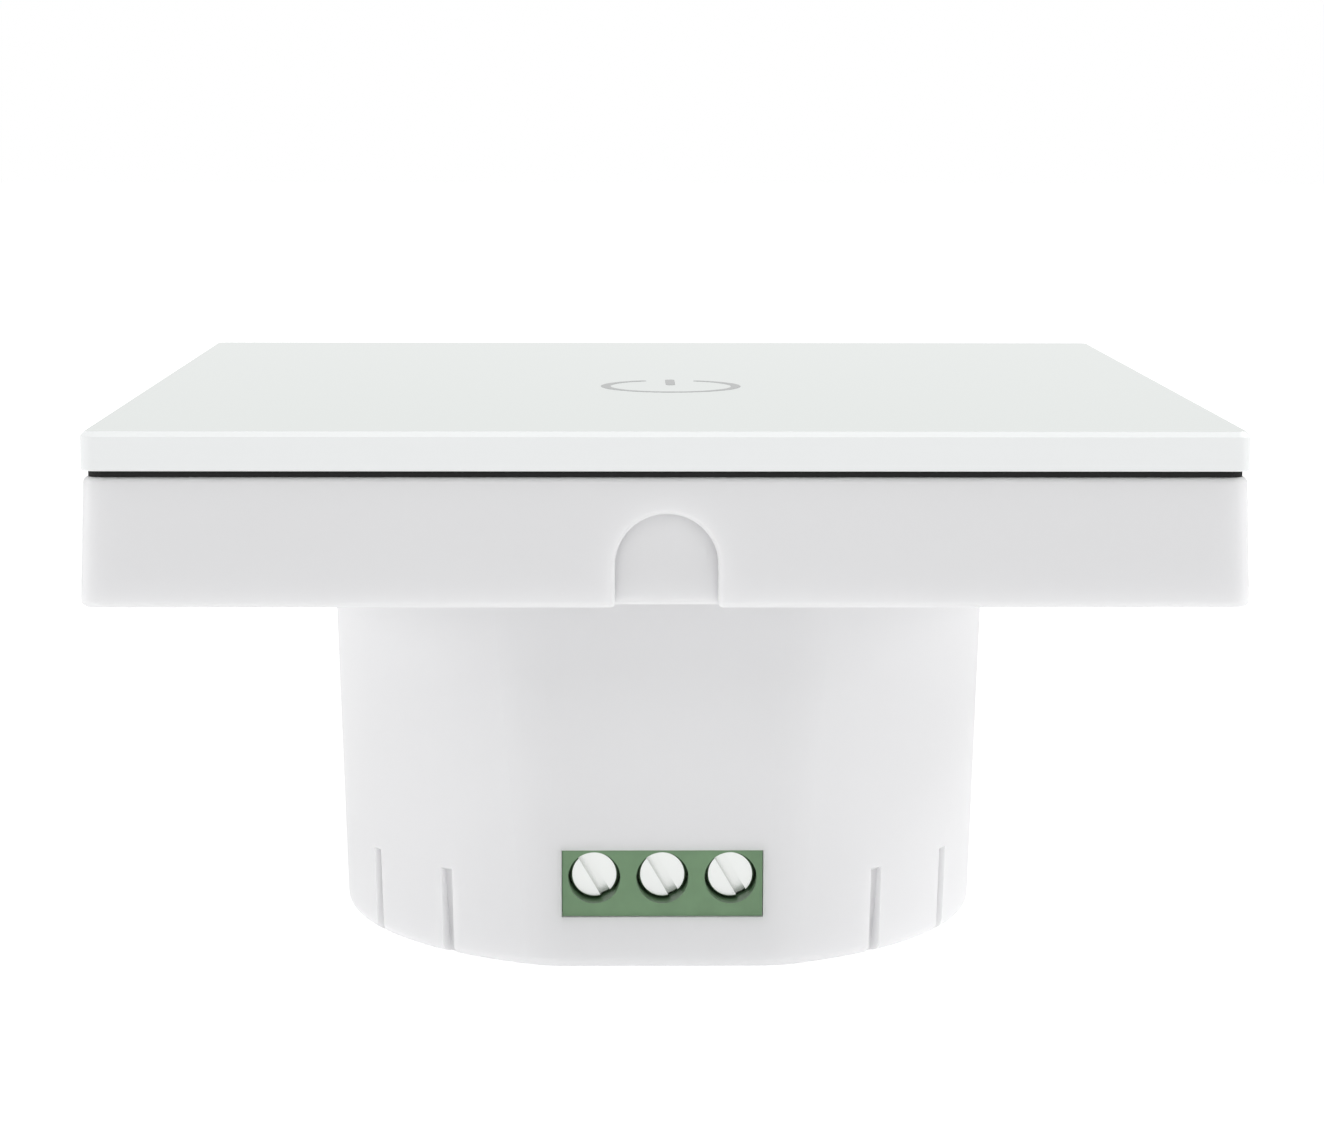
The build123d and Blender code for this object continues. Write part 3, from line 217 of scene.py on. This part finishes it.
def moulded_abs(finish, sizes):
    """White ABS from an eroded mould: a fine-grained satin that lets light in and softens its edges."""
    material, tree, shader = new_material(
        "white ABS, fine eroded mould",
        {
            "Base Color": finish.plastic,
            "Roughness": 0.42,
            "IOR": 1.53,
            "Specular IOR Level": 0.5,
            "Subsurface Weight": 1.0,
            "Subsurface Radius": (1.0, 1.0, 1.0),
            "Subsurface Scale": PLASTIC_DEPTH,
        },
    )
    grain(tree, shader, size=sizes.plastic_grain, strength=0.12, depth=0.03 * MM)
    drift(tree, shader, finish.plastic, darkest=0.985, lightest=1.015, size=30 * MM)
    return material


def back_printed_glass(finish):
    """Float glass printed white on its back: a mirror-smooth face over a pale green-white, with painted light
    on its edges.
    """
    material, tree, shader = new_material(
        "float glass, white back print",
        {
            "Base Color": finish.glass,
            "Roughness": 0.5,
            "Specular IOR Level": 0.0,
            "Coat Weight": 0.8,
            "Coat Roughness": 0.03,
            "Coat IOR": 1.52,
        },
    )
    place = add_node(tree, "ShaderNodeNewGeometry")
    # Painted light: the polished edges are coloured whiter than the face, standing in for the light they
    # gather from the plate
    facing = add_node(tree, "ShaderNodeSeparateXYZ", links={"Vector": place.outputs["Normal"]})
    face = add_node(
        tree,
        "ShaderNodeMapRange",
        {"From Min": PAINTED_EDGE_LIGHT_END, "From Max": GLASS_FACE_START},
        {"Value": facing.outputs["Z"]},
    )
    mix_colours(tree, shader, finish.glass_edge_painted_light, finish.glass, face.outputs["Result"])
    # Its arrises turn the bright room back to the eye by reflection inside the plate
    arris = add_node(
        tree,
        "ShaderNodeMath",
        {1: ARRIS_TILT, 2: ARRIS_SPREAD},
        {0: facing.outputs["Z"]},
        operation="COMPARE",
    )
    shine = add_node(
        tree,
        "ShaderNodeMath",
        {1: ARRIS_SHINE},
        {0: arris.outputs["Value"]},
        operation="MULTIPLY",
    )
    tree.links.new(shine.outputs["Value"], shader.inputs["Metallic"])
    return material


def foam_tape(finish):
    """Black acrylic foam tape: dead matt with open cells on its cut edge."""
    material, tree, shader = new_material(
        "black foam bonding tape", {"Base Color": finish.seam, "Roughness": 0.9, "IOR": 1.48}
    )
    grain(tree, shader, size=0.2 * MM, strength=0.5, depth=0.05 * MM)
    return material


def sign_ink(finish):
    """Grey ceramic ink fired on glass: an even grey under nearly the gloss of the glass round it."""
    material, tree, shader = new_material(
        "grey ceramic ink",
        {
            "Base Color": finish.sign,
            "Roughness": 0.5,
            "Specular IOR Level": 0.0,
            "Coat Weight": 0.8,
            "Coat Roughness": 0.05,
            "Coat IOR": 1.5,
        },
    )
    grain(tree, shader, size=0.3 * MM, strength=0.15, depth=0.01 * MM)
    return material


def terminal_green(finish):
    """Glass-filled polyamide: a greyed green with a faintly mottled moulded skin."""
    material, tree, shader = new_material(
        "green glass-filled polyamide", {"Base Color": finish.terminal, "Roughness": 0.48, "IOR": 1.53}
    )
    drift(tree, shader, finish.terminal, darkest=0.86, lightest=1.12, size=1.6 * MM)
    grain(tree, shader, size=0.25 * MM, strength=0.25, depth=0.03 * MM)
    return material


def plated_metal(name, colour, roughness, turning):
    """Nickel or tin plate: bright, with fine turning marks that blur its reflections."""
    material, tree, shader = new_material(
        name, {"Base Color": colour, "Metallic": 1.0, "Roughness": roughness}
    )
    grain(tree, shader, size=turning, strength=0.2, depth=0.01 * MM, detail=6.0)
    return material


def solder_mask(finish):
    """Green solder mask over glass weave: glossy, with the copper pours showing as a lighter green."""
    material, tree, shader = new_material(
        "green solder mask on FR4",
        {
            "Base Color": finish.board,
            "Roughness": 0.3,
            "IOR": 1.55,
            "Coat Weight": 0.4,
            "Coat Roughness": 0.15,
        },
    )
    place = add_node(tree, "ShaderNodeTexCoord")
    pours = add_node(
        tree,
        "ShaderNodeTexVoronoi",
        {"Scale": 1 / TRACK_PITCH, "Randomness": 0.9},
        {"Vector": place.outputs["Object"]},
        feature="F1",
        distance="MANHATTAN",
    )
    gap = add_node(
        tree,
        "ShaderNodeMapRange",
        {"From Min": POUR_EDGE, "From Max": POUR_END},
        {"Value": pours.outputs["Distance"]},
    )
    mix_colours(tree, shader, shade(finish.board, 1.45), finish.board, gap.outputs["Result"])
    return material


def small_part(name, code, roughness, metallic=0.0, mottle=0.06, grain_size=0.2 * MM):
    """Plain moulded, dipped or sintered part with a little mottling."""
    colour = linear(code)
    material, tree, shader = new_material(
        name, {"Base Color": colour, "Roughness": roughness, "Metallic": metallic}
    )
    drift(tree, shader, colour, darkest=1 - mottle, lightest=1 + mottle, size=1.5 * MM)
    grain(tree, shader, size=grain_size, strength=0.2, depth=0.02 * MM)
    return material


# Finish, sRGB colour, roughness, further settings and the nodes that wear it
SMALL_PARTS = (
    ("black polyester housing", "#161616", 0.45, {}, ("header_strip", "header_socket", "touch_chip")),
    ("black relay and spool moulding", "#1b1b1c", 0.5, {}, ("relay_base", "relay_bobbin")),
    ("phenolic spool", "#26221f", 0.55, {}, ("transformer_bobbin",)),
    ("blue relay cover", "#1d4fa0", 0.3, {}, ("relay_cover",)),
    ("enamelled copper wire", "#b4622e", 0.3, {"metallic": 0.8, "grain_size": 0.15 * MM}, ("relay_winding",)),
    ("sintered ferrite", "#3a3a3c", 0.7, {"mottle": 0.15}, ("transformer_core",)),
    ("yellow film tape", "#e0b31f", 0.28, {}, ("transformer_winding",)),
    ("black can sleeve", "#17181c", 0.25, {}, ("bulk_capacitor", "output_capacitor")),
    ("yellow film capacitor case", "#c9a63a", 0.45, {}, ("film_capacitor",)),
    ("blue epoxy dip", "#2a5c9c", 0.35, {}, ("varistor",)),
    ("brown fuse case", "#5b3b26", 0.4, {}, ("fuse",)),
    ("milky light guide", "#e6e6e0", 0.3, {}, ("light_guide",)),
    ("yellow phosphor", "#e8dc9a", 0.4, {}, ("leds",)),
)


# Meshes

RING_STEPS = 96
END_STEPS = 12
MERGE_DISTANCE = 0.001 * MM
UP = (0, 0, 1)


def finished(name, mesh, material, body):
    """Object at the origin that rides on a body."""
    mesh_data = bpy.data.meshes.new(name)
    mesh.to_mesh(mesh_data)
    mesh.free()
    mesh_data.materials.append(material)
    piece = bpy.data.objects.new(name, mesh_data)
    bpy.context.scene.collection.objects.link(piece)
    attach(piece, body)
    return piece


def round_end(mesh, middle, rim, turn):
    """Flat half disc that rounds off a stroke, swept from its rim."""
    pair = [mesh.verts.new(middle), mesh.verts.new(rim)]
    edge = mesh.edges.new(pair)
    bmesh.ops.spin(mesh, geom=[*pair, edge], cent=middle, axis=UP, angle=turn, steps=END_STEPS)


def cross_section(mesh, middle, half):
    """Two edges across a stroke, joined at its middle."""
    line = [mesh.verts.new(middle + half * side) for side in (-1, 0, 1)]
    return [*line, mesh.edges.new(line[:2]), mesh.edges.new(line[1:])]


def only(kind, items):
    """The vertices, edges or faces among mixed mesh elements."""
    return [item for item in items if isinstance(item, kind)]


def ring_stroke(mesh, middle, radius, width, gap):
    """Flat ring with an opening at its top and round ends."""
    for side in (-1, 1):
        turn = (math.pi + side * gap) / 2
        aim = Vector((math.cos(turn), math.sin(turn), 0))
        round_end(mesh, middle + aim * radius, middle + aim * (radius + width / 2), -side * math.pi)
    section = cross_section(mesh, middle + aim * radius, aim * width / 2)
    sweep = 2 * math.pi - gap
    bmesh.ops.spin(mesh, geom=section, cent=middle, axis=UP, angle=sweep, steps=RING_STEPS)


def bar_stroke(mesh, middle, width, length):
    """Flat upright bar with round ends."""
    reach = Vector((0, (length - width) / 2, 0))
    half = Vector((width / 2, 0, 0))
    for side in (-1, 1):
        round_end(mesh, middle + reach * side, middle + reach * side + half, side * math.pi)
    section = cross_section(mesh, middle - reach, half)
    edges = only(bmesh.types.BMEdge, section)
    drawn = bmesh.ops.extrude_edge_only(mesh, edges=edges)["geom"]
    bmesh.ops.translate(mesh, verts=only(bmesh.types.BMVert, drawn), vec=reach * 2)


def thicken(mesh, thickness):
    """Closes the flat strokes into a thin film."""
    bmesh.ops.remove_doubles(mesh, verts=mesh.verts, dist=MERGE_DISTANCE)
    raised = bmesh.ops.extrude_face_region(mesh, geom=mesh.faces[:])["geom"]
    bmesh.ops.translate(mesh, verts=only(bmesh.types.BMVert, raised), vec=(0, 0, thickness))
    bmesh.ops.recalc_face_normals(mesh, faces=mesh.faces)


# Operators


class SWITCH_OT_plastics(bpy.types.Operator):
    """Finish the tray, the cup and the inner cover as moulded plastic"""

    bl_idname = "switch.plastics"
    bl_label = "Finish plastics"

    def execute(self, context):
        material = moulded_abs(context.scene.switch_finish, context.scene.switch_sizes)
        dress(material, "front_frame", "rear_housing", "inner_cover")
        return {"FINISHED"}


class SWITCH_OT_glass(bpy.types.Operator):
    """Finish the glass panel and its bonding tape"""

    bl_idname = "switch.glass"
    bl_label = "Finish glass"

    def execute(self, context):
        finish = context.scene.switch_finish
        dress(back_printed_glass(finish), "glass_panel")
        dress(foam_tape(finish), "panel_tape")
        return {"FINISHED"}


class SWITCH_OT_sign(bpy.types.Operator):
    """Print the power sign on the glass"""

    bl_idname = "switch.sign"
    bl_label = "Print sign"

    def execute(self, context):
        sizes = context.scene.switch_sizes
        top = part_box("glass_panel")[1].z
        middle = Vector((sizes.sign_side, -sizes.sign_drop, top))
        width = sizes.sign_stroke
        mesh = bmesh.new()
        ring_stroke(mesh, middle, sizes.sign_radius, width, sizes.sign_gap)
        bar_stroke(mesh, middle + Vector((0, sizes.sign_bar_rise, 0)), width, sizes.sign_bar)
        thicken(mesh, sizes.sign_film)
        finished("power_sign", mesh, sign_ink(context.scene.switch_finish), "front_module")
        return {"FINISHED"}


class SWITCH_OT_terminals(bpy.types.Operator):
    """Finish the terminal block, its screws, clamps and contacts"""

    bl_idname = "switch.terminals"
    bl_label = "Finish terminals"

    def execute(self, context):
        finish = context.scene.switch_finish
        dress(terminal_green(finish), "terminal_block")
        poles = ("left", "middle", "right")
        nickel = plated_metal("bright nickel plate", finish.screw, roughness=0.24, turning=0.12 * MM)
        dress(nickel, *[f"terminal_screw_{pole}" for pole in poles])
        tin = plated_metal("tin plate", linear("#b9bbbd"), roughness=0.35, turning=0.2 * MM)
        dress(tin, *[f"terminal_cage_{pole}" for pole in poles])
        dress(tin, "radio_shield", "relay_coil_pins")
        brass = plated_metal("tinned brass", linear("#cdb27a"), roughness=0.3, turning=0.2 * MM)
        dress(brass, "terminal_contacts", "header_pins", "relay_fixed_contact", "relay_contact_blade")
        return {"FINISHED"}


class SWITCH_OT_electronics(bpy.types.Operator):
    """Finish the boards and what they carry"""

    bl_idname = "switch.electronics"
    bl_label = "Finish electronics"

    def execute(self, context):
        dress(solder_mask(context.scene.switch_finish), "touch_board", "power_board", "radio_module")
        steel = plated_metal("zinc-plated screws", linear("#c8cacc"), roughness=0.32, turning=0.15 * MM)
        dress(steel, "touch_board_screws", "board_screws", "cover_screws", "touch_spring")
        iron = plated_metal("nickel-plated soft iron", linear("#a9abad"), roughness=0.4, turning=0.25 * MM)
        dress(iron, "relay_core", "relay_yoke", "relay_armature")
        for name, code, roughness, further, nodes in SMALL_PARTS:
            dress(small_part(name, code, roughness, **further), *nodes)
        return {"FINISHED"}


# Photographed view: a pinhole fitted to the edges of the glass, tray and cup
CAMERA_PLACE = Vector((-3.71, -265.61, 65.19)) * MM
CAMERA_PITCH = math.radians(8.313)
CAMERA_ROLL = math.radians(0.117)
CAMERA_YAW = math.radians(0.841)
CAMERA_LENS = 90.65
CAMERA_SENSOR = 36.0
CAMERA_CLIP = 0.01

WHITE = (1, 1, 1, 1)
FLOOR_COLOUR = (0.9, 0.9, 0.9, 1)
FLOOR_SIZE = 4.0
# Keeps the floor's face off the cup's
FLOOR_GAP = 0.05 * MM
# Light that the floor and the world give, and what the eye sees of them
FLOOR_GLOW = 0.3
FLOOR_SEEN = 0.6
WORLD_LEVEL = 0.42
WORLD_SEEN = 1.0

LAMP_TARGET = Vector((0, 0, 0.025))
LAMP_WIDTH = 0.7
LAMP_HEIGHT = 0.5
# Name, place in metres and power in watts
LAMPS = (
    ("left softbox", (-1.2, 0.0, 0.15), 3.75),
    ("left high softbox", (-1.2, 0.0, 0.8), 0.55),
    ("right softbox", (1.2, 0.0, 0.15), 3.15),
    ("right overhead softbox", (1.2, 0.0, 1.3), 4.4),
    ("front softbox", (0.0, -1.2, 0.15), 1.25),
    ("front high softbox", (0.0, -1.2, 0.8), 2.2),
    ("back overhead softbox", (0.0, 0.5, 1.3), 2.3),
)


def seen_directly(tree):
    """One where a ray comes from the camera, a reflection or a clear body, and nought elsewhere."""
    path = add_node(tree, "ShaderNodeLightPath")
    seen = add_node(
        tree,
        "ShaderNodeMath",
        links={0: path.outputs["Is Camera Ray"], 1: path.outputs["Is Glossy Ray"]},
        operation="MAXIMUM",
    )
    return add_node(
        tree,
        "ShaderNodeMath",
        links={0: seen.outputs["Value"], 1: path.outputs["Is Transmission Ray"]},
        operation="MAXIMUM",
    )


def studio_floor():
    """Matt white board that keeps the shadow, seems white to the eye and is clear from below."""
    material = bpy.data.materials.new("white studio floor")
    material.use_nodes = True
    tree = material.node_tree
    tree.nodes.clear()
    paint = add_node(tree, "ShaderNodeBsdfDiffuse", {"Color": FLOOR_COLOUR})
    level = add_node(
        tree,
        "ShaderNodeMapRange",
        {"To Min": FLOOR_GLOW, "To Max": FLOOR_SEEN},
        {"Value": seen_directly(tree).outputs["Value"]},
    )
    glow = add_node(tree, "ShaderNodeEmission", links={"Strength": level.outputs["Result"]})
    lit = add_node(tree, "ShaderNodeAddShader", links={0: paint.outputs[0], 1: glow.outputs[0]})
    # Clear from below, so that the underside shows
    side = add_node(tree, "ShaderNodeNewGeometry")
    clear = add_node(tree, "ShaderNodeBsdfTransparent")
    sheet = add_node(
        tree,
        "ShaderNodeMixShader",
        links={0: side.outputs["Backfacing"], 1: lit.outputs[0], 2: clear.outputs[0]},
    )
    add_node(tree, "ShaderNodeOutputMaterial", links={"Surface": sheet.outputs[0]})
    return material


class SWITCH_OT_stage(bpy.types.Operator):
    """Set the white floor, the lamps and the camera"""

    bl_idname = "switch.stage"
    bl_label = "Set the stage"

    def floor(self):
        mesh = bmesh.new()
        bmesh.ops.create_grid(mesh, x_segments=1, y_segments=1, size=FLOOR_SIZE / 2)
        bmesh.ops.translate(mesh, verts=mesh.verts, vec=(0, 0, -FLOOR_GAP))
        data = bpy.data.meshes.new("floor")
        mesh.to_mesh(data)
        mesh.free()
        data.materials.append(studio_floor())
        floor = bpy.data.objects.new("floor", data)
        bpy.context.scene.collection.objects.link(floor)

    def world(self):
        world = bpy.data.worlds.new("studio")
        bpy.context.scene.world = world
        world.use_nodes = True
        tree = world.node_tree
        tree.nodes.clear()
        fill = add_node(tree, "ShaderNodeBackground", {"Color": WHITE, "Strength": WORLD_LEVEL})
        white = add_node(tree, "ShaderNodeBackground", {"Color": WHITE, "Strength": WORLD_SEEN})
        mix = add_node(
            tree,
            "ShaderNodeMixShader",
            links={0: seen_directly(tree).outputs["Value"], 1: fill.outputs[0], 2: white.outputs[0]},
        )
        add_node(tree, "ShaderNodeOutputWorld", links={"Surface": mix.outputs[0]})

    def lamps(self):
        for name, place, power in LAMPS:
            light = bpy.data.lights.new(name, "AREA")
            light.shape = "RECTANGLE"
            light.size = LAMP_WIDTH
            light.size_y = LAMP_HEIGHT
            light.energy = power
            lamp = bpy.data.objects.new(name, light)
            lamp.location = place
            lamp.rotation_euler = (LAMP_TARGET - Vector(place)).to_track_quat("-Z", "Y").to_euler()
            bpy.context.scene.collection.objects.link(lamp)

    def camera(self):
        data = bpy.data.cameras.new("photo view")
        data.lens = CAMERA_LENS
        data.sensor_width = CAMERA_SENSOR
        data.clip_start = CAMERA_CLIP
        camera = bpy.data.objects.new("photo view", data)
        camera.location = CAMERA_PLACE
        camera.rotation_euler = (math.pi / 2 - CAMERA_PITCH, -CAMERA_ROLL, -CAMERA_YAW)
        bpy.context.scene.collection.objects.link(camera)
        bpy.context.scene.camera = camera

    def execute(self, context):
        self.floor()
        self.world()
        self.lamps()
        self.camera()
        context.scene.view_settings.view_transform = "Standard"
        return {"FINISHED"}


class SWITCH_PT_panel(bpy.types.Panel):
    """Lists the steps that finish the switch"""

    bl_idname = "SWITCH_PT_panel"
    bl_label = "Light Switch"
    bl_space_type = "VIEW_3D"
    bl_region_type = "UI"
    bl_category = "Light Switch"

    def draw(self, context):
        for operator in OPERATORS:
            self.layout.operator(operator.bl_idname)
        for group in (context.scene.switch_finish, context.scene.switch_sizes):
            for name in group.__annotations__:
                self.layout.prop(group, name)


OPERATORS = (
    SWITCH_OT_plastics,
    SWITCH_OT_glass,
    SWITCH_OT_sign,
    SWITCH_OT_terminals,
    SWITCH_OT_electronics,
    SWITCH_OT_stage,
)
CLASSES = (SwitchFinish, SwitchSizes, *OPERATORS, SWITCH_PT_panel)


def register():
    for cls in CLASSES:
        bpy.utils.register_class(cls)
    bpy.types.Scene.switch_finish = PointerProperty(type=SwitchFinish)
    bpy.types.Scene.switch_sizes = PointerProperty(type=SwitchSizes)


def unregister():
    del bpy.types.Scene.switch_sizes
    del bpy.types.Scene.switch_finish
    for cls in reversed(CLASSES):
        bpy.utils.unregister_class(cls)


def main():
    register()
    bpy.ops.switch.plastics()
    bpy.ops.switch.glass()
    bpy.ops.switch.sign()
    bpy.ops.switch.terminals()
    bpy.ops.switch.electronics()
    bpy.ops.switch.stage()


if __name__ == "__main__":
    main()
